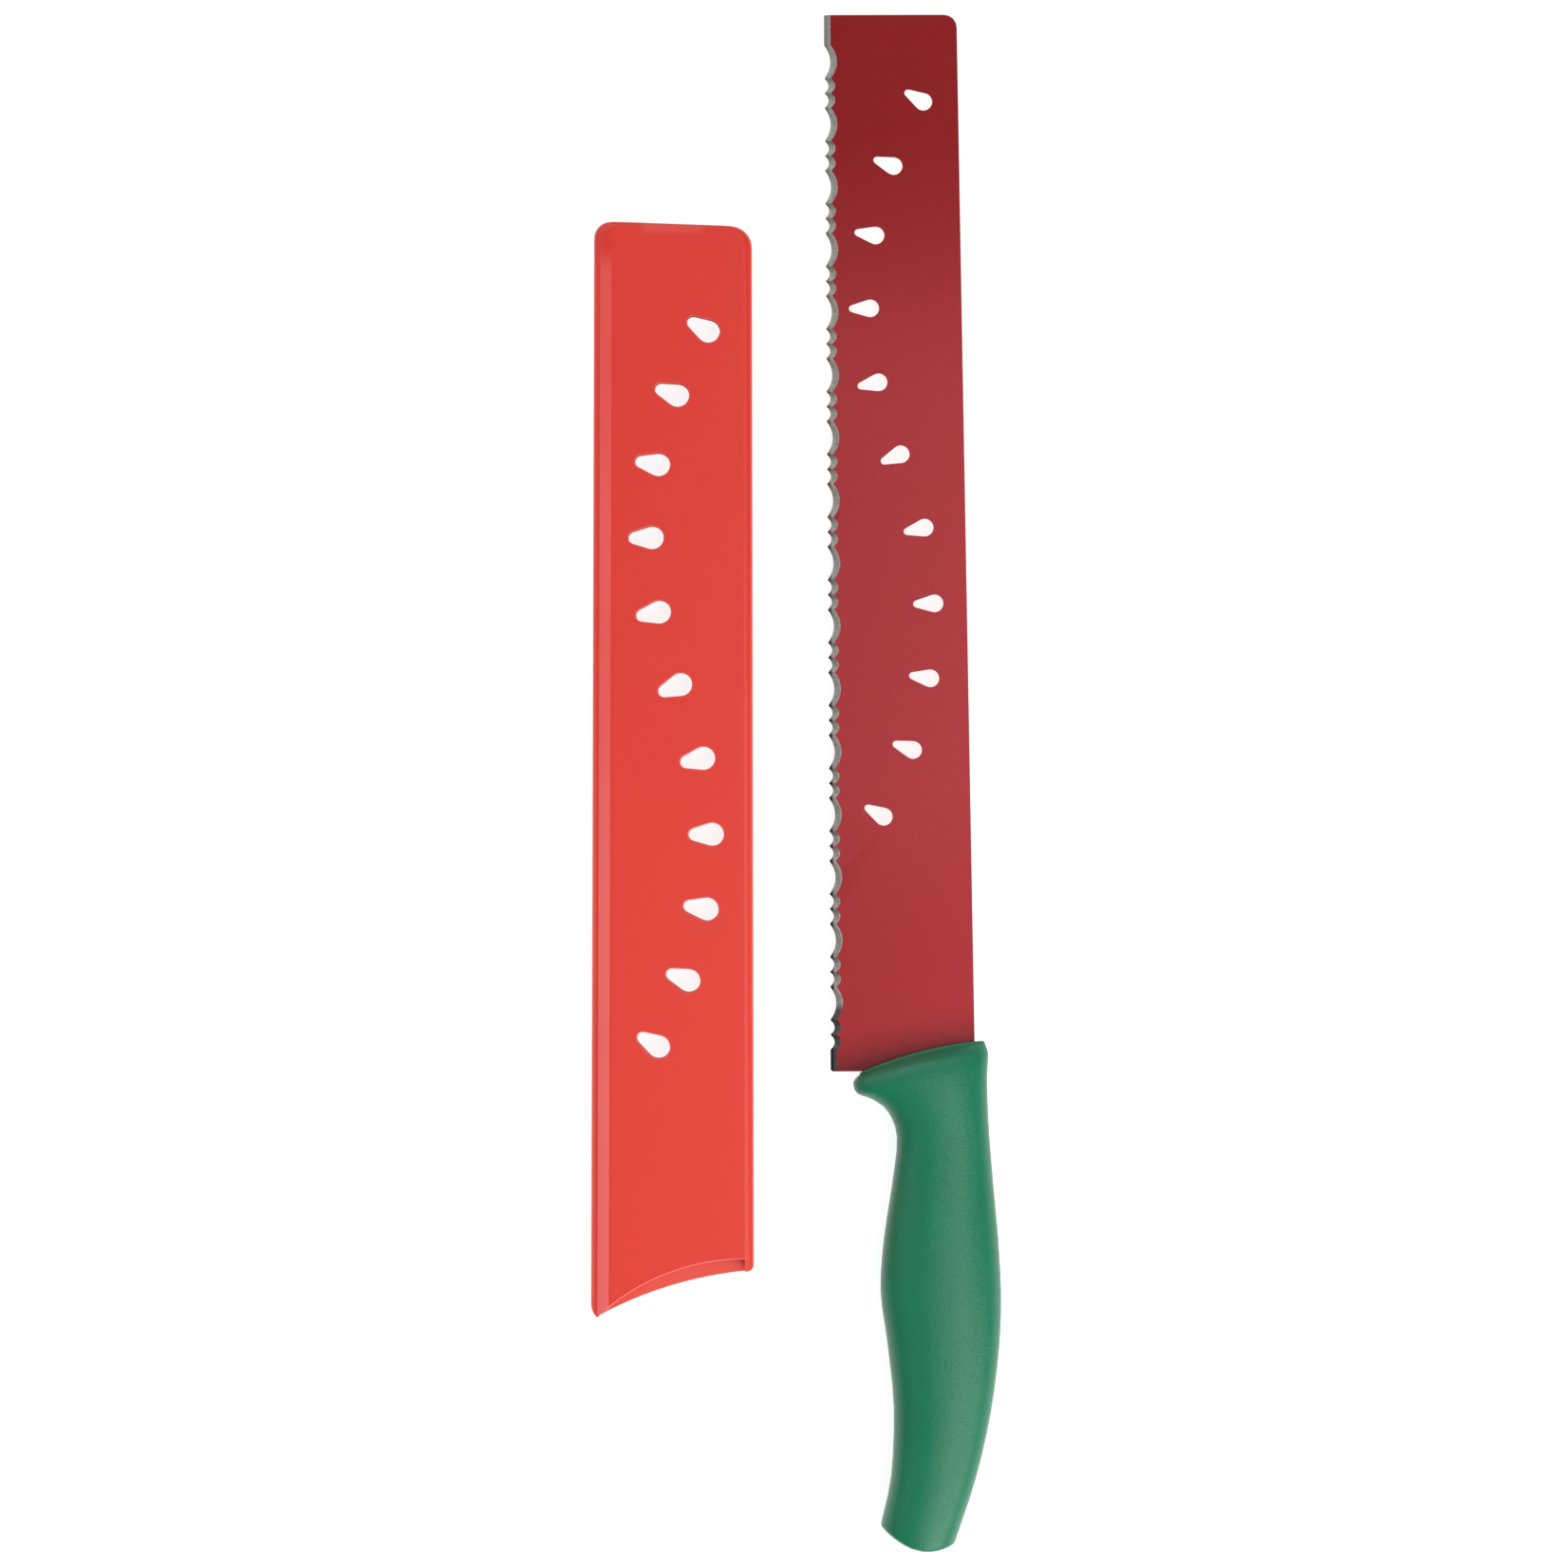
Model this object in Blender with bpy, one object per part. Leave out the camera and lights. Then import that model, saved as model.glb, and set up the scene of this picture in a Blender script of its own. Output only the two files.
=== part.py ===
"""Serrated slicing knife with a seed-pattern blade, a moulded handle and a loose blade sheath.

Three pieces: the steel blade with its hidden tang, the handle moulded around the tang, and the
sheath lying beside the knife. Everything lies on the plane Z = 0, the blade's tip towards +Y and
its cutting edge towards -X. Sizes are in metres.
"""

import math

import bmesh
import bpy
from mathutils import Matrix, Vector

MM = 0.001
RUNNING_GAP = 0.3 * MM          # between the tang and the handle moulded around it
SHARP_ANGLE = math.radians(30)  # an edge that turns more than this is shaded sharp
CORNER_STEPS = 4                # straight steps round the corner of an outline
WELD_DISTANCE = 0.0005 * MM
REACH = 5 * MM                  # how far a cutter runs past what it cuts

# Blade, in the knife's frame: the cutting edge is the line X = 0, the heel is at Y = 0.
BLADE_LENGTH = 279.4 * MM
BLADE_WIDTH_HEEL = 38.2 * MM
BLADE_WIDTH_TIP = 35.2 * MM
SPINE_THICKNESS = 1.8 * MM
EDGE_THICKNESS = 0.8 * MM       # of the plate at the cutting edge, before it is ground
TIP_CORNER_RADIUS = 3.4 * MM
HEEL_CORNER_RADIUS = 0.9 * MM

# Serration: each group is one wide scallop and two narrow ones, ground from the upper face only.
SERRATION_PITCH = 16.6 * MM     # of a group, stretched to a whole number of groups
PLAIN_EDGE_TIP = 8.0 * MM
PLAIN_EDGE_HEEL = 5.8 * MM
WIDE_SHARE = 0.53               # of a group's length
WIDE_DEPTH = 1.65 * MM
NARROW_DEPTH = 1.15 * MM
GRIND_ANGLE = math.radians(26)
GRIND_BITE = 0.05 * MM          # the grind takes off this much of the whole edge
GRIND_WIDTH = 15 * MM           # of the grinding wheel
WIDE_STEPS = 8
NARROW_STEPS = 5

# Seeds: drop-shaped holes along an S of two equal arcs.
SEED_COUNT = 11
SEED_TIP_MARGIN = 22.5 * MM     # from the blade's tip to the first seed
SEED_HEEL_MARGIN = 67.8 * MM    # from the heel to the last seed
SEED_TILT_TIP = math.radians(30.2)
SEED_TILT_MIDDLE = math.radians(22.6)
SEED_TILT_HEEL = math.radians(29.2)
SEED_MIDDLE_SHARE = 0.511       # where the S turns over, as a share of the blade's width
SEED_CLOSE_UP = 0.032           # how much closer the seeds stand at both ends of the S
SEED_BIG_RADIUS = 2.35 * MM
SEED_SMALL_RADIUS = 0.95 * MM
SEED_SPAN = 4.7 * MM            # between the centres of its two round ends
SEED_BIG_STEPS = 11
SEED_SMALL_STEPS = 5

# Tang, hidden in the handle.
TANG_LENGTH = 88 * MM
TANG_WIDTH = 14 * MM
TANG_DEPTH = 8.7 * MM           # of its centre line, from the line of the blade's spine
TANG_ROOT_RADIUS = 4 * MM
TANG_END_RADIUS = 6.3 * MM
TANG_CENTRE = BLADE_WIDTH_HEEL - TANG_DEPTH
ANCHOR_RADIUS = 3.2 * MM        # of the holes that the handle's plastic fills
ANCHOR_FRONT = 30 * MM          # from the heel to the front hole
ANCHOR_BACK = 24 * MM           # from the tang's end to the back hole
ANCHOR_SIDES = 24

# Handle: stations from the front to the butt, in mm. Each gives the point on its edge side, the
# point on its spine side, half its thickness there and how far its middle bows towards the tip.
# X is measured from the line of the blade's spine, Y from the heel.
HANDLE_STATIONS = (
    ((-30.5, -0.8), (2.6, 7.5), 3.0, 1.5),
    ((-32.2, -2.8), (3.5, 4.8), 6.6, 1.5),
    ((-31.3, -5.8), (3.4, 1.6), 7.9, 1.4),
    ((-27.3, -7.4), (3.2, -2.4), 8.2, 1.0),
    ((-23.2, -10.6), (3.3, -8.4), 8.3, 0.5),
    ((-20.8, -17.4), (3.7, -17.4), 8.3, 0.0),
    ((-22.1, -29.4), (4.6, -29.4), 8.6, 0.0),
    ((-24.4, -43.9), (5.8, -43.9), 9.3, 0.0),
    ((-25.4, -57.9), (6.5, -58.4), 9.7, 0.0),
    ((-23.7, -71.4), (5.9, -72.9), 9.5, 0.0),
    ((-22.1, -88.4), (3.6, -89.9), 9.0, 0.0),
    ((-22.9, -106.4), (-0.4, -107.0), 8.8, -1.0),
    ((-25.6, -118.6), (-6.0, -123.6), 8.9, -3.2),
)
HANDLE_STEPS = 3                # rings from one station to the next
HANDLE_SIDES = 28
HANDLE_SQUARENESS = 2.4         # 2 is an ellipse, more is boxier
BUTT_FILLET = 1.6 * MM
FRONT_FILLET = 0.5 * MM
FILLET_STEPS = 4

# Sheath, in its own frame: X = 0 is its edge side, Y = 0 its lowest point at the mouth.
SHEATH_WALL = 1.2 * MM
ROOM_EDGE_MOUTH = 1.6 * MM      # from the cutting edge to the wall beside it, at the mouth
ROOM_EDGE_END = 2.93 * MM       # and at the closed end
ROOM_WIDTH_MOUTH = 2.5 * MM     # the room is wider than the blade by this at the mouth
ROOM_WIDTH_END = 4.1 * MM       # and by this at the closed end
ROOM_HEIGHT = 2.8 * MM          # and higher than the blade's spine by this
ROOM_TIP = 4.6 * MM             # from the blade's tip to the closed end
HEEL_OVERLAP = 4.4 * MM         # from the heel to the sheath's lowest point
SHEATH_LENGTH = HEEL_OVERLAP + BLADE_LENGTH + ROOM_TIP + SHEATH_WALL
SHEATH_WIDTH_MOUTH = BLADE_WIDTH_HEEL + ROOM_WIDTH_MOUTH + 2 * SHEATH_WALL
SHEATH_WIDTH_END = BLADE_WIDTH_TIP + ROOM_WIDTH_END + 2 * SHEATH_WALL
SHEATH_THICKNESS = SPINE_THICKNESS + ROOM_HEIGHT + 2 * SHEATH_WALL
SHEATH_END_SLOPE = math.tan(math.radians(2.1))
END_RADIUS_EDGE = 4.6 * MM
END_RADIUS_SPINE = 5.5 * MM
END_FILLET = 1.2 * MM
RIM_WIDTH = 1.7 * MM            # rounded band along the edge side
BEVEL_WIDTH = 3.0 * MM          # flat stripe beside it
BEVEL_DROP = 0.9 * MM
SPINE_ROUND = 2.4 * MM
SHEATH_EDGE_TAPER = 0.84 * MM   # how far the edge side leans in from the mouth to the end
END_STEPS = 8
SPINE_STEPS = 5
RIM_STEPS = 4
SHEATH_SEED_MARGIN = 0.7 * MM   # a seed hole is wider than the blade's by this all round
MOUTH_TIP = 1.6 * MM            # X of the lowest point
MOUTH_TIP_RISE = 3.2 * MM       # from there to the edge side
MOUTH_TIP_BULGE = 0.32 * MM
MOUTH_RISE = 12.1 * MM          # of the lower wall's edge, from its tip to the spine side
MOUTH_BULGE = 2.1 * MM
MOUTH_CORNER_RADIUS = 2.0 * MM
MOUTH_STEPS = 12
FRONT_WALL_TOP = 15.4 * MM      # Y of the upper wall's edge at the spine side
FRONT_WALL_RADIUS = 57 * MM
FRONT_WALL_STEPS = 16
FRONT_WALL_FOOT = 0.2 * MM      # the upper wall is set back above this height over mid-thickness
SLOT_WIDTH = 15.5 * MM          # drain slot in the closed end
SLOT_HEIGHT = 2.4 * MM

# Where the sheath's frame is in the knife's when the sheath is on the blade, up to the handle.
SHEATHED_PLACE = Vector((-ROOM_EDGE_MOUTH - SHEATH_WALL, -HEEL_OVERLAP))
SHEATHED_TURN = (ROOM_EDGE_END - ROOM_EDGE_MOUTH + SHEATH_EDGE_TAPER) / SHEATH_LENGTH

# Where the knife lies, beside the sheath.
KNIFE_ASIDE = 20.1 * MM         # from the sheath's spine side to the cutting edge
KNIFE_AHEAD = 65.0 * MM         # from the sheath's lowest point to the heel
KNIFE_TURN = math.radians(0.36)


def clear_scene():
    for item in list(bpy.data.objects):
        bpy.data.objects.remove(item, do_unlink=True)


def make_collection(name):
    collection = bpy.data.collections.new(name)
    bpy.context.scene.collection.children.link(collection)
    return collection


def make_material(name, colour, roughness, metallic=0.0):
    material = bpy.data.materials.new(name)
    material.use_nodes = True
    shader = material.node_tree.nodes["Principled BSDF"]
    shader.inputs["Base Color"].default_value = (*colour, 1.0)
    shader.inputs["Roughness"].default_value = roughness
    shader.inputs["Metallic"].default_value = metallic
    return material


def mesh_object(name, mesh, collection):
    item = bpy.data.objects.new(name, mesh)
    collection.objects.link(item)
    return item


def mirrored(upper):
    """A whole ring from the points of its upper half, which runs from side to side."""
    return upper + [(x, y, -z) for x, y, z in reversed(upper)]


def loft(name, rings, collection):
    """Skin a closed body over mirrored rings of equally many points, with flat strips as ends."""
    body = bmesh.new()
    loops = [[body.verts.new(point) for point in ring] for ring in rings]
    count = len(loops[0])
    for near, far in zip(loops, loops[1:]):
        for i in range(count):
            j = (i + 1) % count
            body.faces.new((near[i], near[j], far[j], far[i]))
    for loop in (loops[0], loops[-1]):
        for i in range(count // 2 - 1):
            body.faces.new((loop[i], loop[i + 1], loop[-i - 2], loop[-i - 1]))
    bmesh.ops.recalc_face_normals(body, faces=body.faces)
    mesh = bpy.data.meshes.new(name)
    body.to_mesh(mesh)
    body.free()
    return mesh_object(name, mesh, collection)


def extrude_outline(name, outlines, depth, collection, frame=None):
    """Flat outlines as one filled 2D curve, thickened by depth / 2 to both sides of its plane."""
    curve = bpy.data.curves.new(name, "CURVE")
    curve.dimensions = "2D"
    curve.fill_mode = "BOTH"
    curve.extrude = depth / 2
    for points in outlines:
        spline = curve.splines.new("POLY")
        spline.points.add(len(points) - 1)
        for slot, (x, y) in zip(spline.points, points):
            slot.co = (x, y, 0.0, 1.0)
        spline.use_cyclic_u = True
    guide = mesh_object(name + "_outline", curve, collection)
    guide.matrix_world = frame or Matrix.Identity(4)
    bpy.context.view_layer.update()
    evaluated = guide.evaluated_get(bpy.context.evaluated_depsgraph_get())
    mesh = bpy.data.meshes.new_from_object(evaluated)
    item = mesh_object(name, mesh, collection)
    item.matrix_world = guide.matrix_world.copy()
    bpy.data.objects.remove(guide, do_unlink=True)
    weld(mesh)
    return item


def weld(mesh):
    body = bmesh.new()
    body.from_mesh(mesh)
    bmesh.ops.remove_doubles(body, verts=body.verts, dist=WELD_DISTANCE)
    bmesh.ops.recalc_face_normals(body, faces=body.faces)
    body.to_mesh(mesh)
    body.free()


def move_to(item, collection):
    for owner in list(item.users_collection):
        owner.objects.unlink(item)
    collection.objects.link(item)


def smooth_by_angle():
    """A node group that shades a mesh smooth, but not across edges sharper than SHARP_ANGLE."""
    group = bpy.data.node_groups.new("smooth_by_angle", "GeometryNodeTree")
    group.interface.new_socket("Geometry", in_out="INPUT", socket_type="NodeSocketGeometry")
    group.interface.new_socket("Geometry", in_out="OUTPUT", socket_type="NodeSocketGeometry")
    group.is_modifier = True
    source = group.nodes.new("NodeGroupInput")
    faces = group.nodes.new("GeometryNodeSetShadeSmooth")
    edges = group.nodes.new("GeometryNodeSetShadeSmooth")
    edges.domain = "EDGE"
    edges.inputs["Shade Smooth"].default_value = False
    turn = group.nodes.new("GeometryNodeInputMeshEdgeAngle")
    sharper = group.nodes.new("FunctionNodeCompare")
    sharper.operation = "GREATER_THAN"
    sharper.inputs["B"].default_value = SHARP_ANGLE
    result = group.nodes.new("NodeGroupOutput")
    links = group.links
    links.new(source.outputs["Geometry"], faces.inputs["Geometry"])
    links.new(faces.outputs["Geometry"], edges.inputs["Geometry"])
    links.new(turn.outputs["Unsigned Angle"], sharper.inputs["A"])
    links.new(sharper.outputs["Result"], edges.inputs["Selection"])
    links.new(edges.outputs["Geometry"], result.inputs["Geometry"])
    return group


def shade(items):
    """Shade the finished shapes, after all that cuts them."""
    group = smooth_by_angle()
    for item in items:
        modifier = item.modifiers.new("smooth_by_angle", "NODES")
        modifier.node_group = group


def hide_cutter(cutter):
    cutter.hide_render = True
    cutter.display_type = "WIRE"


def boolean(target, cutter, operation):
    hide_cutter(cutter)
    modifier = target.modifiers.new(operation.lower() + "_" + cutter.name, "BOOLEAN")
    modifier.operation = operation
    modifier.solver = "EXACT"
    modifier.object = cutter


def arc(centre, radius, start, end, steps):
    """Points on a circle from one angle to another, both included."""
    angles = [start + (end - start) * i / steps for i in range(steps + 1)]
    return [(centre[0] + radius * math.cos(a), centre[1] + radius * math.sin(a)) for a in angles]


def bulged(start, end, bulge, steps):
    """Points on the arc from start to end that stands off its chord by bulge, on the left."""
    start, end = Vector(start), Vector(end)
    chord = (end - start).length
    radius = (chord * chord / 4 + bulge * bulge) / (2 * bulge)
    along = (end - start).normalized()
    left = Vector((-along.y, along.x))
    centre = (start + end) / 2 + left * (bulge - radius)
    first = math.atan2(start.y - centre.y, start.x - centre.x)
    sweep = -2 * math.asin(chord / (2 * radius))
    return arc(centre, abs(radius), first, first + sweep, steps)


def rounded(corner, before, after, radius):
    """Points that round the corner of an outline with the given radius."""
    corner, before, after = Vector(corner), Vector(before), Vector(after)
    to_before = (before - corner).normalized()
    to_after = (after - corner).normalized()
    half = to_before.angle(to_after) / 2
    middle = (to_before + to_after).normalized()
    centre = corner + middle * (radius / math.sin(half))
    first = corner + to_before * (radius / math.tan(half)) - centre
    turn = first.angle_signed(corner + to_after * (radius / math.tan(half)) - centre)
    points = []
    for i in range(CORNER_STEPS + 1):
        spoke = Matrix.Rotation(-turn * i / CORNER_STEPS, 2) @ first
        points.append(tuple(centre + spoke))
    return points


def round_outline(corners):
    """An outline from (corner, radius) pairs; a radius of 0 leaves the corner sharp."""
    points = []
    for i, (corner, radius) in enumerate(corners):
        before = corners[i - 1][0]
        after = corners[(i + 1) % len(corners)][0]
        points += rounded(corner, before, after, radius) if radius > 0 else [corner]
    return points


def seed_places():
    """Centre and tilt of each seed, from the tip to the heel, in the knife's frame."""
    run = BLADE_LENGTH - SEED_TIP_MARGIN - SEED_HEEL_MARGIN
    tip_rise = math.sin(SEED_TILT_TIP) + math.sin(SEED_TILT_MIDDLE)
    heel_rise = math.sin(SEED_TILT_MIDDLE) + math.sin(SEED_TILT_HEEL)
    radius = run / (tip_rise + heel_rise)
    tip_sweep = SEED_TILT_TIP + SEED_TILT_MIDDLE
    sweep = tip_sweep + SEED_TILT_MIDDLE + SEED_TILT_HEEL
    middle = Vector((
        SEED_MIDDLE_SHARE * (BLADE_WIDTH_HEEL + BLADE_WIDTH_TIP) / 2,
        BLADE_LENGTH - SEED_TIP_MARGIN - radius * tip_rise,
    ))
    places = []
    for i in range(SEED_COUNT):
        share = i / (SEED_COUNT - 1)
        share -= SEED_CLOSE_UP * math.sin(2 * math.pi * share) / (2 * math.pi)
        turned = tip_sweep - sweep * share
        side = -1 if turned > 0 else 1
        tilt = SEED_TILT_MIDDLE + side * turned
        offset = Vector((
            side * radius * (math.cos(tilt) - math.cos(SEED_TILT_MIDDLE)),
            side * radius * (math.sin(tilt) - math.sin(SEED_TILT_MIDDLE)),
        ))
        places.append((middle + offset, tilt))
    return places


def seed_outline(place, tilt, grow=0.0):
    """A drop: two round ends joined by their common tangents, the big end towards the spine."""
    big, small = SEED_BIG_RADIUS + grow, SEED_SMALL_RADIUS + grow
    big_offset = SEED_SPAN * SEED_SMALL_RADIUS / (SEED_BIG_RADIUS + SEED_SMALL_RADIUS)
    tangent = math.acos(-(big - small) / SEED_SPAN)
    small_offset = big_offset - SEED_SPAN
    points = arc((big_offset, 0.0), big, -tangent, tangent, SEED_BIG_STEPS)
    points += arc((small_offset, 0.0), small, tangent, 2 * math.pi - tangent, SEED_SMALL_STEPS)
    turn = Matrix.Rotation(tilt, 2)
    return [tuple(place + turn @ Vector(point)) for point in points]


def upright_frame(middle_y):
    """A frame whose outline lies in the X-Z plane and is thickened along Y."""
    return Matrix.Translation((0.0, middle_y, 0.0)) @ Matrix.Rotation(math.pi / 2, 4, "X")


def plate_body(name, cutters, collection, grow=0.0):
    """The blade and tang as one tapered plate, grown all round to make room for it."""
    left = TANG_CENTRE - TANG_WIDTH / 2 - grow
    right = TANG_CENTRE + TANG_WIDTH / 2 + grow
    tang_end = -TANG_LENGTH - grow
    end_radius = TANG_END_RADIUS + grow
    tip = BLADE_LENGTH + grow
    lean = (BLADE_WIDTH_HEEL - BLADE_WIDTH_TIP) / 2 / BLADE_LENGTH
    spine_tip = tip - lean * BLADE_WIDTH_TIP
    outline = round_outline((
        ((-grow, -grow), HEEL_CORNER_RADIUS + grow),
        ((-grow, tip), 0),
        ((BLADE_WIDTH_TIP + grow, spine_tip), TIP_CORNER_RADIUS + grow),
        ((BLADE_WIDTH_HEEL + grow, -grow), 0),
        ((right, -grow), 0),
        ((right, tang_end), end_radius),
        ((left, tang_end), end_radius),
        ((left, -grow), TANG_ROOT_RADIUS - grow),
    ))
    plate = extrude_outline(name, [outline], 2 * REACH, collection)
    section = []
    for x in (-REACH, BLADE_WIDTH_HEEL + REACH):
        taper = (SPINE_THICKNESS - EDGE_THICKNESS) * x / BLADE_WIDTH_HEEL
        half = (EDGE_THICKNESS + taper) / 2 + grow
        section += [(x, half), (x, -half)] if x < 0 else [(x, -half), (x, half)]
    middle = (BLADE_LENGTH - TANG_LENGTH) / 2
    depth = BLADE_LENGTH + TANG_LENGTH + 2 * REACH
    wedge = extrude_outline(name + "_wedge", [section], depth, cutters, upright_frame(middle))
    boolean(plate, wedge, "INTERSECT")
    return plate


def column(name, place, radius, collection):
    bpy.ops.mesh.primitive_cylinder_add(
        vertices=ANCHOR_SIDES, radius=radius, depth=2 * REACH, location=(*place, 0.0))
    item = bpy.context.active_object
    item.name = name
    move_to(item, collection)
    return item


def anchor_columns(name, radius, collection):
    places = [(TANG_CENTRE, -ANCHOR_FRONT), (TANG_CENTRE, ANCHOR_BACK - TANG_LENGTH)]
    return [column(f"{name}_{i}", place, radius, collection) for i, place in enumerate(places)]


def serration_profile():
    """The grinding wheel's path along the edge, in the plane square to the ground face."""
    run = BLADE_LENGTH - PLAIN_EDGE_TIP - PLAIN_EDGE_HEEL
    groups = round(run / SERRATION_PITCH)
    group = run / groups
    narrow = group * (1 - WIDE_SHARE) / 2
    scallops = (
        (narrow, NARROW_DEPTH, NARROW_STEPS),
        (narrow, NARROW_DEPTH, NARROW_STEPS),
        (group * WIDE_SHARE, WIDE_DEPTH, WIDE_STEPS),
    )
    bite = -GRIND_BITE
    points = [(-REACH, bite)]
    y = PLAIN_EDGE_HEEL
    for _ in range(groups):
        for length, depth, steps in scallops:
            sag = -depth * math.sin(GRIND_ANGLE)
            points += bulged((y, bite), (y + length, bite), sag, steps)[:-1]
            y += length
    points += [(y, bite), (BLADE_LENGTH + REACH, bite)]
    return points + [(BLADE_LENGTH + REACH, REACH), (-REACH, REACH)]


def grind_cutter(cutters):
    """Cuts the scallops along the ground face, which rises from the lower face at the edge."""
    rise, run = math.sin(GRIND_ANGLE), math.cos(GRIND_ANGLE)
    frame = Matrix((
        (0.0, -rise, run, 0.0),
        (1.0, 0.0, 0.0, 0.0),
        (0.0, run, rise, -EDGE_THICKNESS / 2),
        (0.0, 0.0, 0.0, 1.0),
    ))
    return extrude_outline("grind", [serration_profile()], GRIND_WIDTH, cutters, frame)


def build_blade(parts, cutters):
    blade = plate_body("blade", cutters, parts)
    boolean(blade, grind_cutter(cutters), "DIFFERENCE")
    seeds = [seed_outline(place, tilt) for place, tilt in seed_places()]
    boolean(blade, extrude_outline("blade_seeds", seeds, 2 * REACH, cutters), "DIFFERENCE")
    for hole in anchor_columns("anchor_hole", ANCHOR_RADIUS, cutters):
        boolean(blade, hole, "DIFFERENCE")
    blade.data.materials.append(make_material("red_coating", (0.42, 0.035, 0.05), 0.42, 0.3))
    return blade


def catmull_rom(before, start, end, after, t):
    """One coordinate of the smooth curve from start to end, at t from 0 to 1."""
    bend = 2 * before - 5 * start + 4 * end - after
    twist = 3 * start - before - 3 * end + after
    return start + ((end - before) * t + bend * t * t + twist * t * t * t) / 2


def handle_line():
    """The stations with smooth in-between ones, each as six numbers in metres."""
    rows = [tuple(v * MM for v in (*edge, *spine, half, bow))
            for edge, spine, half, bow in HANDLE_STATIONS]
    smooth = []
    for i in range(len(rows) - 1):
        near = rows[max(i - 1, 0)], rows[i], rows[i + 1], rows[min(i + 2, len(rows) - 1)]
        for step in range(HANDLE_STEPS):
            t = step / HANDLE_STEPS
            smooth.append(tuple(catmull_rom(*values, t) for values in zip(*near)))
    return smooth + [rows[-1]]


def handle_ring(station, inset=0.0, push=0.0):
    """A boxy oval across the handle, drawn in by inset and moved out of the end face by push."""
    edge_x, edge_y, spine_x, spine_y, half, bow = station
    across = Vector((spine_x - edge_x, spine_y - edge_y))
    along = across.normalized()
    edge = Vector((BLADE_WIDTH_HEEL + edge_x, edge_y))
    centre = edge + across / 2 + Vector((-along.y, along.x)) * push
    reach = along * (across.length / 2 - inset)
    upper = []
    for i in range(HANDLE_SIDES // 2):
        angle = 2 * math.pi * (i + 0.5) / HANDLE_SIDES
        u = math.copysign(abs(math.cos(angle)) ** (2 / HANDLE_SQUARENESS), math.cos(angle))
        w = math.sin(angle) ** (2 / HANDLE_SQUARENESS)
        point = centre + reach * u
        upper.append((point.x, point.y + bow * (1 - u * u), (half - inset) * w))
    return mirrored(upper)


def end_rings(station, radius, side):
    """Rings that round the rim of an end face; side is 1 at the front and -1 at the butt."""
    rings = []
    for i in range(1, FILLET_STEPS + 1):
        angle = math.pi / 2 * i / FILLET_STEPS
        inset = radius * (1 - math.cos(angle))
        rings.append(handle_ring(station, inset, side * radius * math.sin(angle)))
    return rings


def build_handle(parts, cutters):
    stations = handle_line()
    rings = list(reversed(end_rings(stations[0], FRONT_FILLET, 1)))
    rings += [handle_ring(station) for station in stations]
    rings += end_rings(stations[-1], BUTT_FILLET, -1)
    handle = loft("handle", rings, parts)
    room = plate_body("tang_room", cutters, cutters, RUNNING_GAP)
    for peg in anchor_columns("anchor_peg", ANCHOR_RADIUS - RUNNING_GAP, cutters):
        boolean(room, peg, "DIFFERENCE")
    boolean(handle, room, "DIFFERENCE")
    handle.data.materials.append(make_material("green_plastic", (0.03, 0.19, 0.10), 0.5))
    return handle


def sheath_profile(left, right, inset):
    """Upper half of the sheath's section, from the spine side to the edge side."""
    top = SHEATH_THICKNESS / 2 - inset
    corner = SPINE_ROUND - inset
    rim = RIM_WIDTH - inset
    bevel_foot = top - BEVEL_DROP
    points = arc((right - corner, top - corner), corner, 0, math.pi / 2, SPINE_STEPS)
    points.append((left + rim + BEVEL_WIDTH, top))
    return points + arc((left + rim, bevel_foot - rim), rim, math.pi / 2, math.pi, RIM_STEPS)


def corner_inset(radius, distance):
    """How far a rounded corner is in from its side, at a distance from the end."""
    reach = max(radius - distance, 0.0)
    return radius - math.sqrt(max(radius * radius - reach * reach, 0.0))


def sheath_ring(distance, inset):
    """One ring of the sheath, at a distance from the closed end; inset 0 is the outside."""
    spine_taper = SHEATH_WIDTH_MOUTH - SHEATH_WIDTH_END - SHEATH_EDGE_TAPER
    share = 1 - distance / SHEATH_LENGTH
    left = inset + SHEATH_EDGE_TAPER * share
    right = SHEATH_WIDTH_MOUTH - inset - spine_taper * share
    left += corner_inset(END_RADIUS_EDGE - inset, distance)
    right -= corner_inset(END_RADIUS_SPINE - inset, distance)
    top = SHEATH_THICKNESS / 2 - inset
    flatten = 1 - corner_inset(max(END_FILLET - inset, 0.0), distance) / top
    end = SHEATH_LENGTH - inset - distance
    profile = sheath_profile(left, right, inset)
    return mirrored([(x, end - SHEATH_END_SLOPE * x, z * flatten) for x, z in profile])


def sheath_body(name, inset, collection):
    """The sheath's outside, or the room inside it, from past the mouth to the closed end."""
    radius = END_RADIUS_SPINE - inset
    distances = [SHEATH_LENGTH + REACH]
    for i in range(END_STEPS + 1):
        distances.append(radius * (1 - math.sin(math.pi / 2 * i / END_STEPS)))
    return loft(name, [sheath_ring(distance, inset) for distance in distances], collection)


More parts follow.
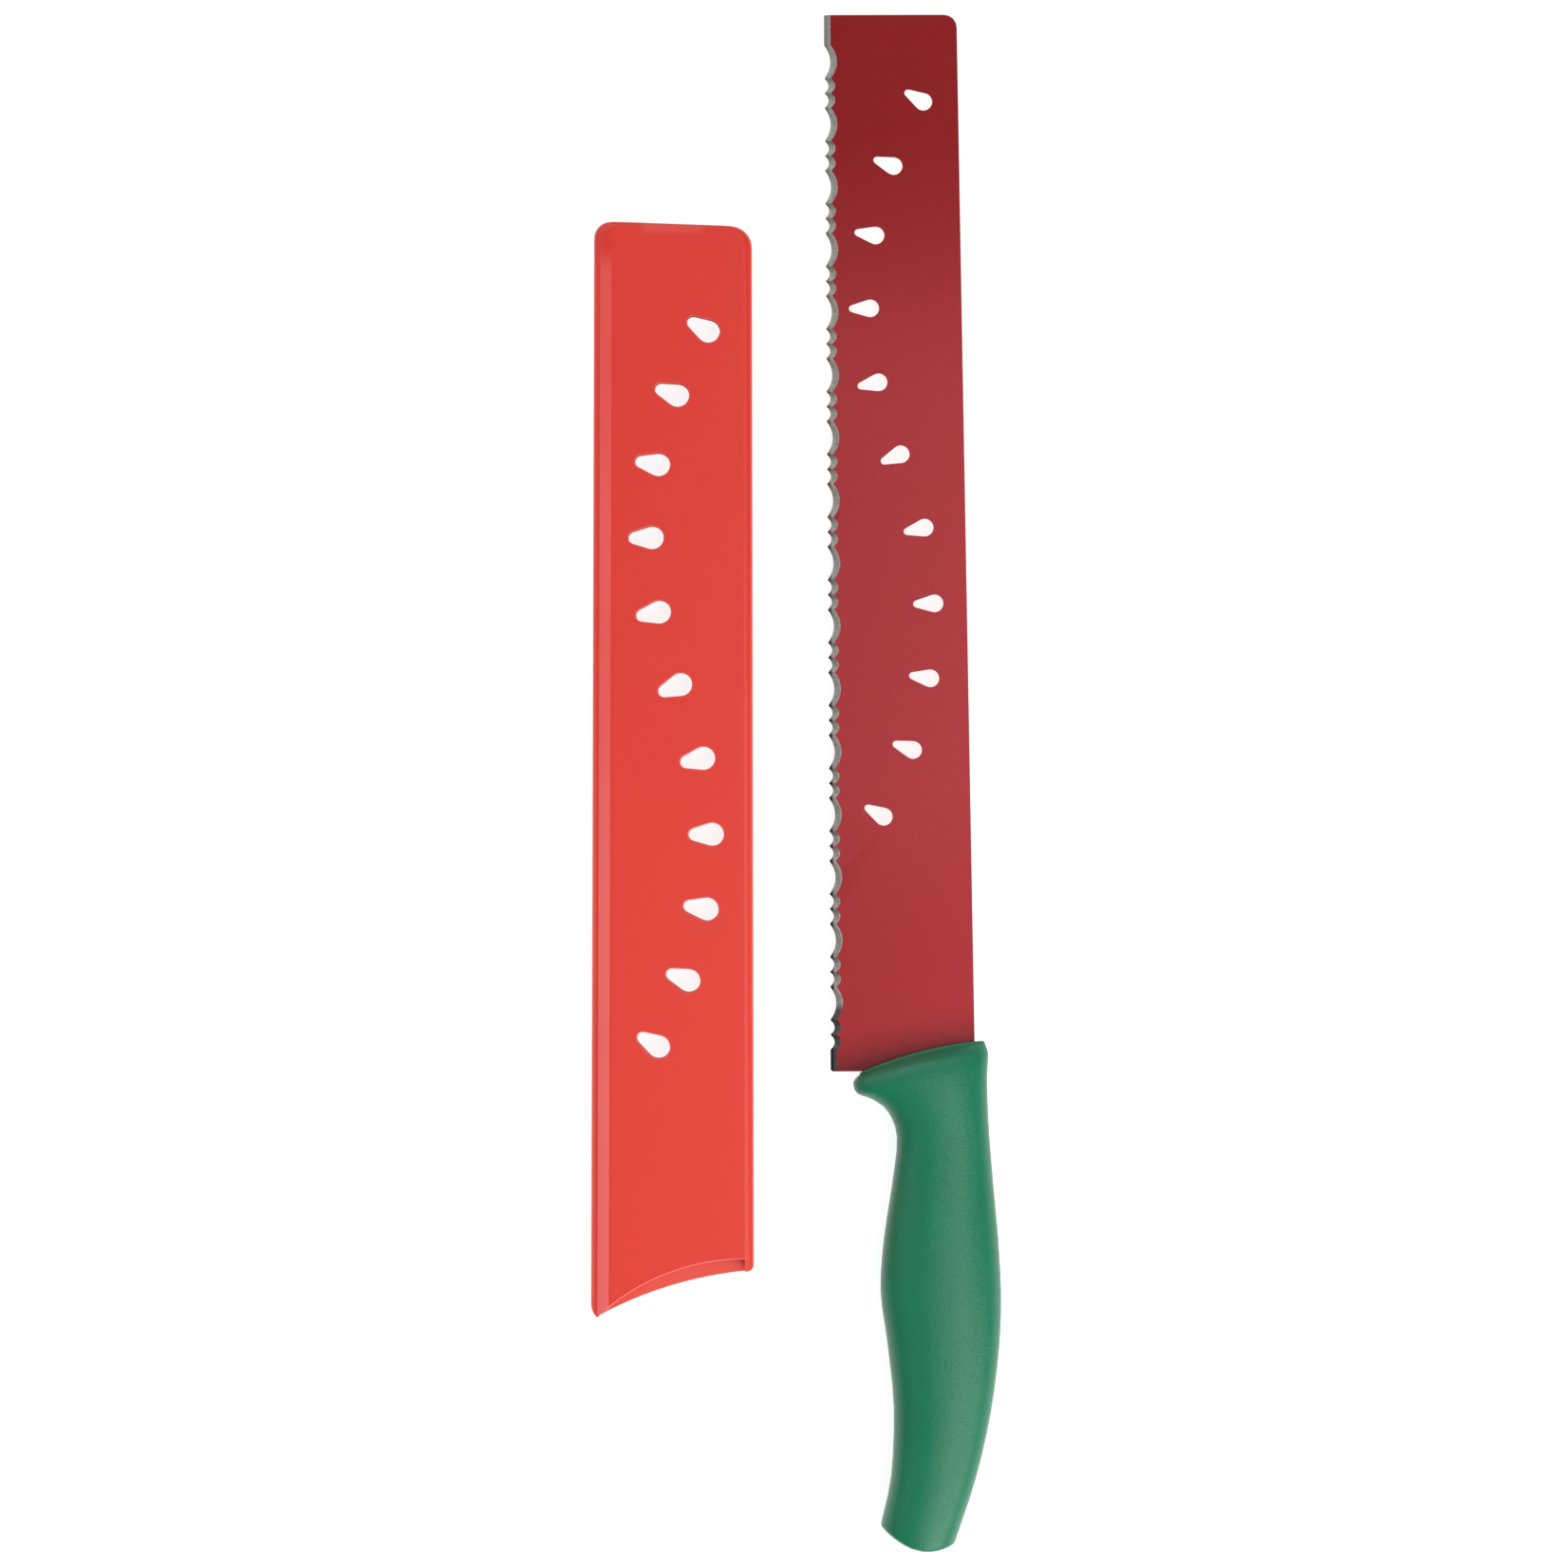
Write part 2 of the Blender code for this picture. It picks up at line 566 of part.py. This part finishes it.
def mouth_cutter(cutters):
    """Everything below the lower wall's curved edge."""
    corner = MOUTH_CORNER_RADIUS
    quarter_bulge = corner * (1 - math.sqrt(0.5))
    tip = (MOUTH_TIP, 0.0)
    tip_side = (0.0, MOUTH_TIP_RISE)
    spine_foot = (SHEATH_WIDTH_MOUTH - corner, MOUTH_RISE)
    spine_side = (SHEATH_WIDTH_MOUTH, MOUTH_RISE + corner)
    far, below = SHEATH_WIDTH_MOUTH + REACH, -3 * REACH
    outline = [(-REACH, MOUTH_TIP_RISE)]
    outline += bulged(tip_side, tip, -MOUTH_TIP_BULGE, CORNER_STEPS - 1)
    outline += bulged(tip, spine_foot, MOUTH_BULGE, MOUTH_STEPS)[1:]
    outline += bulged(spine_foot, spine_side, -quarter_bulge, CORNER_STEPS)[1:]
    outline += [(far, spine_side[1]), (far, below), (-REACH, below)]
    return extrude_outline("mouth", [outline], 2 * SHEATH_THICKNESS, cutters)


def upper_wall_cutter(cutters):
    """Sets the upper wall back from the lower one, short of the round spine side."""
    end = SHEATH_WIDTH_MOUTH - SPINE_ROUND
    centre = (end, FRONT_WALL_TOP - FRONT_WALL_RADIUS)
    sweep = math.asin((end - MOUTH_TIP) / FRONT_WALL_RADIUS)
    right_angle = math.pi / 2
    outline = arc(centre, FRONT_WALL_RADIUS, right_angle + sweep, right_angle, FRONT_WALL_STEPS)
    outline += [(end, -3 * REACH), (MOUTH_TIP, -3 * REACH)]
    frame = Matrix.Translation((0.0, 0.0, FRONT_WALL_FOOT + SHEATH_THICKNESS / 2))
    return extrude_outline("upper_wall", [outline], SHEATH_THICKNESS, cutters, frame)


def drain_slot(cutters):
    """A slot through the middle of the closed end."""
    middle = SHEATH_WIDTH_MOUTH / 2
    bpy.ops.mesh.primitive_cube_add(size=1.0)
    slot = bpy.context.active_object
    slot.name = "drain_slot"
    slot.scale = (SLOT_WIDTH, 4 * SHEATH_WALL, SLOT_HEIGHT)
    slot.location = (middle, SHEATH_LENGTH - SHEATH_END_SLOPE * middle, 0.0)
    move_to(slot, cutters)
    return slot


def build_sheath(parts, cutters):
    sheath = sheath_body("sheath", 0.0, parts)
    boolean(sheath, sheath_body("sheath_room", SHEATH_WALL, cutters), "DIFFERENCE")
    boolean(sheath, mouth_cutter(cutters), "DIFFERENCE")
    boolean(sheath, upper_wall_cutter(cutters), "DIFFERENCE")
    boolean(sheath, drain_slot(cutters), "DIFFERENCE")
    seeds = []
    for place, tilt in seed_places():
        in_sheath = Matrix.Rotation(-SHEATHED_TURN, 2) @ (place - SHEATHED_PLACE)
        seeds.append(seed_outline(in_sheath, tilt - SHEATHED_TURN, SHEATH_SEED_MARGIN))
    seed_cutter = extrude_outline("sheath_seeds", seeds, 2 * SHEATH_THICKNESS, cutters)
    boolean(sheath, seed_cutter, "DIFFERENCE")
    sheath.data.materials.append(make_material("red_plastic", (0.73, 0.05, 0.035), 0.4))
    return sheath


def world_points(item):
    graph = bpy.context.evaluated_depsgraph_get()
    evaluated = item.evaluated_get(graph)
    mesh = evaluated.to_mesh()
    points = [evaluated.matrix_world @ vertex.co for vertex in mesh.vertices]
    evaluated.to_mesh_clear()
    return points


def resting_pitch(blade, handle):
    """How far the blade dips so that its tip and the handle's belly touch one plane."""
    blade_points = world_points(blade)
    tip_y = max(point.y for point in blade_points)
    tip_z = min(point.z for point in blade_points if point.y > tip_y - TIP_CORNER_RADIUS)
    slopes = [(tip_z - point.z) / (tip_y - point.y) for point in world_points(handle)]
    return math.atan(max(slopes))


def stand_on(name, items, cutters, place, turn, pitch=0.0):
    """Parent the items to an empty that carries them to their place, lowest point at Z = 0."""
    holder = bpy.data.objects.new(name, None)
    bpy.context.scene.collection.objects.link(holder)
    for item in (*items, *cutters):
        item.parent = holder
    holder.matrix_world = (
        Matrix.Translation((*place, 0.0))
        @ Matrix.Rotation(turn, 4, "Z")
        @ Matrix.Rotation(-pitch, 4, "X")
    )
    bpy.context.view_layer.update()
    holder.location.z -= min(point.z for item in items for point in world_points(item))
    bpy.context.view_layer.update()
    return holder


def centre_on_origin(holders, parts):
    points = [point for item in parts.objects for point in world_points(item)]
    for axis in (0, 1):
        values = [point[axis] for point in points]
        for holder in holders:
            holder.location[axis] -= (min(values) + max(values)) / 2
    bpy.context.view_layer.update()


def main():
    clear_scene()
    parts = make_collection("slicing_knife")
    knife_cutters = make_collection("knife_cutters")
    sheath_cutters = make_collection("sheath_cutters")
    blade = build_blade(parts, knife_cutters)
    handle = build_handle(parts, knife_cutters)
    sheath = build_sheath(parts, sheath_cutters)
    shade((blade, handle, sheath))
    bpy.context.view_layer.update()
    pitch = resting_pitch(blade, handle)
    place = (SHEATH_WIDTH_MOUTH + KNIFE_ASIDE, KNIFE_AHEAD)
    knife = stand_on("knife", (blade, handle), knife_cutters.objects, place, KNIFE_TURN, pitch)
    cover = stand_on("cover", (sheath,), sheath_cutters.objects, (0.0, 0.0), 0.0)
    centre_on_origin((knife, cover), parts)


main()
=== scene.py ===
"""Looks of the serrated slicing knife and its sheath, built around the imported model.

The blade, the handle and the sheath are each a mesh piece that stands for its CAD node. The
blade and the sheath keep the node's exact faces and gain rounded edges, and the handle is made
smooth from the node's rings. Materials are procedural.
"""

import math

import bmesh
import bpy
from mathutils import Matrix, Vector


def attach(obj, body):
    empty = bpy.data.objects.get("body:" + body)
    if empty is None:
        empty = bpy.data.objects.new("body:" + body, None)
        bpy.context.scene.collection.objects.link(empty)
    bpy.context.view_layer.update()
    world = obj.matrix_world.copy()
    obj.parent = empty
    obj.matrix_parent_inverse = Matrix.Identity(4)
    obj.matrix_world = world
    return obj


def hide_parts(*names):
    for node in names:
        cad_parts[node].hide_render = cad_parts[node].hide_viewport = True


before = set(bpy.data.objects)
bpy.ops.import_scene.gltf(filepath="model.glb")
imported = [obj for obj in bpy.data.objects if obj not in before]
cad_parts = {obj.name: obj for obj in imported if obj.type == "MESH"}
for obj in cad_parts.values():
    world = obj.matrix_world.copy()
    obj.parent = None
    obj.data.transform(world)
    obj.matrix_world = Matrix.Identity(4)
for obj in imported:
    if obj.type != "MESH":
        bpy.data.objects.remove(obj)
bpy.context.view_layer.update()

MM = 0.001

# Camera, straight above the object.
CAMERA_HEIGHT = 2.2
CAMERA_OVER = (-3.1 * MM, -0.75 * MM)
VIEW_WIDTH = 0.4142             # seen at VIEW_LEVEL
VIEW_LEVEL = 5 * MM
SENSOR = 36.0

FLOOR_SIZE = 6.0
FLOOR_LEVEL = -0.05 * MM        # just below the sheath's flat underside

# Name, place, aim, size in metres and power in watts.
LIGHTS = (
    ("soft_box", (0.445, -0.37, 1.2), (0.445, -0.37, 0.0), (0.73, 0.94), 4.9),
    ("front_box", (0.7, -0.9, 0.75), (0.0, 0.0, 0.0), (1.7, 1.0), 15.0),
    ("back_box", (-0.7, 0.7, 0.7), (0.0, 0.0, 0.0), (1.5, 1.0), 4.4),
    ("top_box", (0.16, 0.2, 1.2), (0.05, 0.1, 0.0), (0.3, 0.2), 0.3),
    ("rear_box", (0.2, 1.0, 0.9), (0.0, 0.0, 0.0), (1.5, 1.0), 3.0),
    ("side_strip", (-0.9, -0.4, 1.15), (0.0, 0.0, 0.0), (0.2, 1.0), 0.5),
)
WORLD_STRENGTH = 0.2

JOIN_DISTANCE = 1e-7            # the nodes' doubled points are joined within this
FLAT_ANGLE = 0.6                # degrees: facets this close become one flat face
CREASE_ANGLE = 35.0             # degrees: the handle stays creased past this

# Rounded edges: radius, segments, and the angle in degrees past which they are cut.
BLADE_ROUNDING = (0.06 * MM, 1, 30)
SHEATH_ROUNDING = (0.3 * MM, 3, 50)
OPENING_CHAMFER = 0.28 * MM

# The tooth tips lie on a line: X = offset + slope * Y.
TIP_OFFSET = 8.734 * MM
TIP_SLOPE = -0.0063
TIP_SHADE = (0.7 * MM, 1.2 * MM)  # how far in from it a tooth is painted dark as shade, and where that ends
HEEL_GRIND = -58.5 * MM         # the plain heel begins below this Y
HEEL_FADE = 2 * MM

SHEATH_MOUTH = -105 * MM        # the mouth's cut faces lie below this Y
SHEATH_END = 147.8 * MM
SHEATH_MIDDLE = -32.5 * MM
END_STRIP_WIDTH = 16 * MM            # a paler strip at the middle of the closed end
END_STRIP_DEPTH = 3 * MM
END_STRIP_FADE = 1 * MM
ROOM_FLOOR = 3 * MM             # the lower wall's inner face lies below this Z
TOP_TOLERANCE = 0.2 * MM        # points this close to the highest one are on the flat top

# The handle's front edge as a line on the blade: Y - slope * X.
HANDLE_FRONT_SLOPE = 0.217
HANDLE_FRONT = -79.9 * MM
HANDLE_SHADE = 13 * MM          # painted shadow: the coating is darker for this far ahead of it


def linear(red, green, blue):
    """A linear colour from sRGB values of 0 to 255."""
    def one(value):
        value /= 255
        return value / 12.92 if value <= 0.04045 else ((value + 0.055) / 1.055) ** 2.4
    return one(red), one(green), one(blue), 1.0


# ---------------------------------------------------------------- node helpers

def new_material(name):
    material = bpy.data.materials.new(name)
    material.use_nodes = True
    tree = material.node_tree
    return material, tree, tree.nodes["Principled BSDF"]


def add(tree, kind, inputs=None, **settings):
    node = tree.nodes.new(kind)
    for key, value in settings.items():
        setattr(node, key, value)
    for key, value in (inputs or {}).items():
        node.inputs[key].default_value = value
    return node


def link(tree, source, target):
    tree.links.new(source, target)


def noise(tree, place, scale, detail=2.0, roughness=0.5):
    node = add(tree, "ShaderNodeTexNoise",
               {"Scale": scale, "Detail": detail, "Roughness": roughness})
    link(tree, place, node.inputs["Vector"])
    return node.outputs["Fac"]


def ramp(tree, value, low, high, to_low, to_high):
    node = add(tree, "ShaderNodeMapRange", {
        "From Min": low, "From Max": high, "To Min": to_low, "To Max": to_high})
    link(tree, value, node.inputs["Value"])
    return node.outputs["Result"]


def blend_colours(tree, factor, first, second):
    """first and second are colours or sockets."""
    node = add(tree, "ShaderNodeMix", data_type="RGBA")
    link(tree, factor, node.inputs["Factor"])
    for socket, value in (("A", first), ("B", second)):
        target = [s for s in node.inputs if s.name == socket and s.type == "RGBA"][0]
        if isinstance(value, bpy.types.NodeSocket):
            link(tree, value, target)
        else:
            target.default_value = value
    return [s for s in node.outputs if s.type == "RGBA"][0]


def calculate(tree, operation, *values):
    node = add(tree, "ShaderNodeMath", operation=operation)
    for slot, value in enumerate(values):
        if isinstance(value, bpy.types.NodeSocket):
            link(tree, value, node.inputs[slot])
        else:
            node.inputs[slot].default_value = value
    return node.outputs[0]


def bump(tree, shader, height, distance, strength=1.0):
    node = add(tree, "ShaderNodeBump", {"Strength": strength, "Distance": distance})
    link(tree, height, node.inputs["Height"])
    link(tree, node.outputs["Normal"], shader.inputs["Normal"])


# ---------------------------------------------------------------- materials

def coordinates(tree, place):
    """The X and Y of a place as sockets."""
    parts = add(tree, "ShaderNodeSeparateXYZ")
    link(tree, place, parts.inputs[0])
    return parts.outputs["X"], parts.outputs["Y"]


def along(tree, place, low, high, to_low, to_high):
    """A value that goes smoothly from to_low to to_high along the object's Y axis."""
    _, y = coordinates(tree, place)
    node = add(tree, "ShaderNodeMapRange", {
        "From Min": low, "From Max": high, "To Min": to_low, "To Max": to_high},
        interpolation_type="SMOOTHSTEP")
    link(tree, y, node.inputs["Value"])
    return node.outputs["Result"]


def painted_handle_shadow(tree, place):
    """Mask of the painted shadow of the handle: 1 on the coating where the handle's slanting
    front meets it, fading out ahead of it.
    """
    x, y = coordinates(tree, place)
    slant = calculate(tree, "MULTIPLY", x, HANDLE_FRONT_SLOPE)
    ahead = calculate(tree, "SUBTRACT", y, slant)
    fade = ramp(tree, ahead, HANDLE_FRONT, HANDLE_FRONT + HANDLE_SHADE, 1.0, 0.0)
    return calculate(tree, "MULTIPLY", calculate(tree, "POWER", fade, 2.0), 0.85)


def coated_steel():
    """Dark red non-stick coating, satin, with a faint orange-peel, a painted sheen in mid-blade,
    painted shade towards the tip and a painted shadow ahead of the handle.
    """
    material, tree, shader = new_material("coated_steel")
    place = add(tree, "ShaderNodeTexCoord").outputs["Object"]
    cloud = noise(tree, place, 14.0, 2.0)
    grain = noise(tree, place, 1500.0, 2.0)
    # painted sheen: the coating is lighter and paler from mid-blade on than at the heel
    painted_sheen = blend_colours(tree, along(tree, place, -0.05, 0.0, 0.0, 1.0),
                          linear(176, 43, 48), linear(180, 53, 58))
    # painted shade: the coating darkens towards the tip
    zoned = blend_colours(tree, along(tree, place, 0.095, 0.175, 0.0, 1.0),
                          painted_sheen, linear(153, 17, 23))
    base = blend_colours(tree, ramp(tree, cloud, 0.35, 0.65, 0.0, 0.12),
                         zoned, linear(178, 44, 50))
    mixed = blend_colours(tree, ramp(tree, grain, 0.3, 0.7, 0.0, 0.16),
                          base, linear(120, 20, 25))
    # painted shadow of the handle's front on the coating
    near = blend_colours(tree, painted_handle_shadow(tree, place), mixed, linear(84, 20, 24))
    link(tree, near, shader.inputs["Base Color"])
    shader.inputs["Metallic"].default_value = 0.45
    link(tree, ramp(tree, grain, 0.2, 0.8, 0.26, 0.34), shader.inputs["Roughness"])
    peel = noise(tree, place, 700.0, 3.0)
    bump(tree, shader, peel, 0.02 * MM, 0.35)
    return material


def painted_dark_teeth(tree, place):
    """Mask of painted shade: 1 at the tooth tips and on the plain heel, 0 in the scallops."""
    x, y = coordinates(tree, place)
    line = calculate(tree, "MULTIPLY_ADD", y, TIP_SLOPE, TIP_OFFSET)
    inside = calculate(tree, "SUBTRACT", x, line)
    tips = ramp(tree, inside, *TIP_SHADE, 0.95, 0.0)
    heel = ramp(tree, y, HEEL_GRIND - HEEL_FADE, HEEL_GRIND, 0.75, 0.0)
    # the painted shade on the tips is strongest at the heel and weaker towards the tip
    tip_shade_strength = along(tree, place, 0.0, 0.19, 1.0, 0.3)
    return calculate(tree, "MAXIMUM", calculate(tree, "MULTIPLY", tips, tip_shade_strength), heel)


def ground_steel():
    """Bare steel of the ground edge: fine scratches across the edge, with painted shade on the
    tooth tips and the plain heel.
    """
    material, tree, shader = new_material("ground_steel")
    place = add(tree, "ShaderNodeTexCoord").outputs["Object"]
    stretch = add(tree, "ShaderNodeMapping", {"Scale": (0.12, 1.0, 0.4)})
    link(tree, place, stretch.inputs["Vector"])
    scratch = noise(tree, stretch.outputs["Vector"], 5200.0, 3.0)
    tone = blend_colours(tree, ramp(tree, scratch, 0.3, 0.7, 0.0, 1.0),
                         linear(140, 139, 134), linear(188, 186, 180))
    # painted shade darkens the tooth tips and the plain heel
    tips_and_heel_painted_dark = blend_colours(tree, painted_dark_teeth(tree, place), tone, linear(34, 32, 34))
    link(tree, tips_and_heel_painted_dark, shader.inputs["Base Color"])
    shader.inputs["Metallic"].default_value = 1.0
    link(tree, ramp(tree, scratch, 0.3, 0.7, 0.40, 0.55), shader.inputs["Roughness"])
    bump(tree, shader, scratch, 0.01 * MM, 0.5)
    return material


def handle_plastic():
    """Green moulded plastic with a fine spark-eroded grain."""
    material, tree, shader = new_material("handle_plastic")
    place = add(tree, "ShaderNodeTexCoord").outputs["Object"]
    cloud = noise(tree, place, 30.0, 3.0)
    grain = noise(tree, place, 2600.0, 2.0)
    tone = blend_colours(tree, ramp(tree, cloud, 0.35, 0.65, 0.0, 1.0),
                         linear(8, 115, 82), linear(11, 121, 87))
    grained = blend_colours(tree, ramp(tree, grain, 0.35, 0.65, 0.0, 0.25),
                            tone, linear(4, 98, 68))
    link(tree, grained, shader.inputs["Base Color"])
    link(tree, ramp(tree, grain, 0.3, 0.7, 0.26, 0.36), shader.inputs["Roughness"])
    bump(tree, shader, grain, 0.1 * MM, 0.8)
    return material


def pale_end_strip(tree, place):
    """1 on a paler strip at the middle of the sheath's closed end, with soft sides."""
    x, y = coordinates(tree, place)
    off = calculate(tree, "ABSOLUTE", calculate(tree, "SUBTRACT", x, SHEATH_MIDDLE))
    side = END_STRIP_WIDTH / 2
    start = SHEATH_END - END_STRIP_DEPTH
    across = ramp(tree, off, side - END_STRIP_FADE, side + END_STRIP_FADE, 1.0, 0.0)
    deep = ramp(tree, y, start - END_STRIP_FADE, start + END_STRIP_FADE, 0.0, 0.6)
    return calculate(tree, "MULTIPLY", across, deep)


def sheath_plastic(name, near, far):
    """Red moulded plastic, satin, with its colours near the mouth and far from it; the lighter
    tone near the mouth is painted light.
    """
    material, tree, shader = new_material(name)
    place = add(tree, "ShaderNodeTexCoord").outputs["Object"]
    cloud = noise(tree, place, 22.0, 3.0)
    # painted light: the plastic is lighter near the mouth and fades towards the closed end
    tone = blend_colours(tree, along(tree, place, -0.1, 0.13, 0.0, 1.0), near, far)
    # the paler bevel and rim colours give way to the plain colour at the closed end
    ended = blend_colours(tree, along(tree, place, 0.134, 0.142, 0.0, 1.0),
                          tone, linear(222, 51, 39))
    clouded = blend_colours(tree, ramp(tree, cloud, 0.35, 0.65, 0.0, 0.25),
                            ended, linear(224, 54, 41))
    # a paler strip at the middle of the closed end
    with_pale_strip = blend_colours(tree, pale_end_strip(tree, place), clouded, linear(232, 84, 72))
    link(tree, with_pale_strip, shader.inputs["Base Color"])
    fine = noise(tree, place, 900.0, 2.0)
    link(tree, ramp(tree, fine, 0.3, 0.7, 0.30, 0.38), shader.inputs["Roughness"])
    bump(tree, shader, fine, 0.02 * MM, 0.3)
    return material


# ---------------------------------------------------------------- pieces

# Material slots of the blade and of the sheath.
COATING, GROUND = 0, 1
# BEVEL holds the sheath's painted highlight, RIM its painted light
BODY, BEVEL, RIM = 0, 1, 2


def copy_of(node, name):
    """A new piece with the CAD node's mesh, its facets joined back into flat faces."""
    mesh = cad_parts[node].data.copy()
    mesh.name = name
    mesh.materials.clear()
    shape = bmesh.new()
    shape.from_mesh(mesh)
    bmesh.ops.remove_doubles(shape, verts=shape.verts, dist=JOIN_DISTANCE)
    bmesh.ops.dissolve_limit(
        shape, angle_limit=math.radians(FLAT_ANGLE), verts=shape.verts, edges=shape.edges)
    shape.to_mesh(mesh)
    shape.free()
    piece = bpy.data.objects.new(name, mesh)
    bpy.context.scene.collection.objects.link(piece)
    return piece


def round_edges(piece, width, segments, angle):
    """Round the edges sharper than angle, and keep the flat faces flat in the shading."""
    piece.data.shade_smooth()
    modifier = piece.modifiers.new("rounded_edges", "BEVEL")
    modifier.width = width
    modifier.segments = segments
    modifier.limit_method = "ANGLE"
    modifier.angle_limit = math.radians(angle)
    normals = piece.modifiers.new("flat_faces", "WEIGHTED_NORMAL")
    normals.weight = 100
    normals.keep_sharp = True


def make_blade():
    piece = copy_of("blade", "blade_plate")
    piece.data.materials.append(coated_steel())
    piece.data.materials.append(ground_steel())
    flat = abs(max(piece.data.polygons, key=lambda face: face.area).normal.z)
    for face in piece.data.polygons:
        tilted = 0.75 < face.normal.z < flat - 0.02
        face.material_index = GROUND if tilted else COATING
    round_edges(piece, *BLADE_ROUNDING)
    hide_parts("blade")
    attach(piece, "knife")


def chamfer_top_openings(piece, width, material_index):
    """Cut a chamfer where the flat top meets the walls of the seed holes and of the mouth."""
    shape = bmesh.new()
    shape.from_mesh(piece.data)
    top = max(vertex.co.z for vertex in shape.verts)
    edges = []
    for edge in shape.edges:
        if len(edge.link_faces) != 2:
            continue
        flat, wall = sorted(edge.link_faces, key=lambda face: -face.normal.z)
        on_top = all(vertex.co.z > top - TOP_TOLERANCE for vertex in edge.verts)
        if on_top and flat.normal.z > 0.99 and abs(wall.normal.z) < 0.3:
            edges.append(edge)
    bmesh.ops.bevel(shape, geom=edges, offset=width, offset_type="OFFSET", segments=1,
                    profile=0.5, affect="EDGES", clamp_overlap=False,
                    material=material_index)
    shape.to_mesh(piece.data)
    shape.free()


def make_sheath():
    piece = copy_of("sheath", "sheath_shell")
    piece.data.materials.append(sheath_plastic(
        "sheath_plastic", linear(229, 56, 40), linear(222, 51, 39)))
    # paler bevel material: a painted highlight on the edge side's bevel and on the chamfers of
    # the openings
    piece.data.materials.append(sheath_plastic(
        "sheath_bevel_painted_highlight", linear(244, 110, 107), linear(238, 88, 83)))
    # lighter rim material: painted light on the edge side's rounding, the mouth's cut faces and
    # the lower wall's inner face in the mouth, where shade falls
    piece.data.materials.append(sheath_plastic(
        "sheath_rim_painted_light", linear(248, 90, 74), linear(238, 62, 46)))
    for face in piece.data.polygons:
        floor_of_room = face.normal.z > 0.9 and face.center.z < ROOM_FLOOR
        mouth_cut = face.normal.y < -0.5 and face.center.y < SHEATH_MOUTH
        edge_side = face.normal.x < -0.25 and face.normal.z > 0
        # the edge side's bevel takes the painted highlight
        if edge_side and face.normal.z > 0.9 and not floor_of_room:
            face.material_index = BEVEL
        # the rest of the edge side, the mouth's cut faces and the floor of the room take the
        # painted light
        elif edge_side or floor_of_room or mouth_cut:
            face.material_index = RIM
        else:
            face.material_index = BODY
    # the chamfers round the seed holes and the mouth take the painted highlight too
    chamfer_top_openings(piece, OPENING_CHAMFER, BEVEL)
    round_edges(piece, *SHEATH_ROUNDING)
    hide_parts("sheath")
    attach(piece, "cover")


def make_handle():
    piece = copy_of("handle", "grip")
    piece.data.materials.append(handle_plastic())
    piece.data.shade_smooth()
    piece.data.set_sharp_from_angle(angle=math.radians(CREASE_ANGLE))
    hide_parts("handle")
    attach(piece, "knife")


# ---------------------------------------------------------------- stage

def make_floor():
    bpy.ops.mesh.primitive_plane_add(size=FLOOR_SIZE)
    floor = bpy.context.active_object
    floor.name = "floor"
    floor.location.z = FLOOR_LEVEL
    material, tree, shader = new_material("floor_white")
    shader.inputs["Base Color"].default_value = (0.35, 0.35, 0.35, 1.0)
    shader.inputs["Roughness"].default_value = 0.9
    shader.inputs["Specular IOR Level"].default_value = 0.1
    shader.inputs["Emission Color"].default_value = (1.0, 1.0, 1.0, 1.0)
    shader.inputs["Emission Strength"].default_value = 0.85
    floor.data.materials.append(material)


def make_light(name, place, aim, size, power):
    lamp = bpy.data.lights.new(name, "AREA")
    lamp.shape = "RECTANGLE"
    lamp.size, lamp.size_y = size
    lamp.energy = power
    item = bpy.data.objects.new(name, lamp)
    bpy.context.scene.collection.objects.link(item)
    item.visible_camera = False
    item.location = place
    item.rotation_mode = "QUATERNION"
    item.rotation_quaternion = (Vector(aim) - Vector(place)).to_track_quat("-Z", "Y")


def make_lights():
    world = bpy.data.worlds.new("studio")
    world.use_nodes = True
    background = world.node_tree.nodes["Background"]
    background.inputs["Color"].default_value = (1.0, 1.0, 1.0, 1.0)
    background.inputs["Strength"].default_value = WORLD_STRENGTH
    bpy.context.scene.world = world
    for name, place, aim, size, power in LIGHTS:
        make_light(name, place, aim, size, power)


def make_camera():
    camera_data = bpy.data.cameras.new("camera")
    camera_data.sensor_width = SENSOR
    camera_data.lens = SENSOR * (CAMERA_HEIGHT - VIEW_LEVEL) / VIEW_WIDTH
    camera_data.clip_start = 0.1
    camera = bpy.data.objects.new("camera", camera_data)
    camera.location = (*CAMERA_OVER, CAMERA_HEIGHT)
    bpy.context.scene.collection.objects.link(camera)
    bpy.context.scene.camera = camera


def main():
    bpy.context.scene.view_settings.view_transform = "Standard"
    make_camera()
    make_blade()
    make_handle()
    make_sheath()
    make_floor()
    make_lights()


main()
bpy.context.view_layer.update()
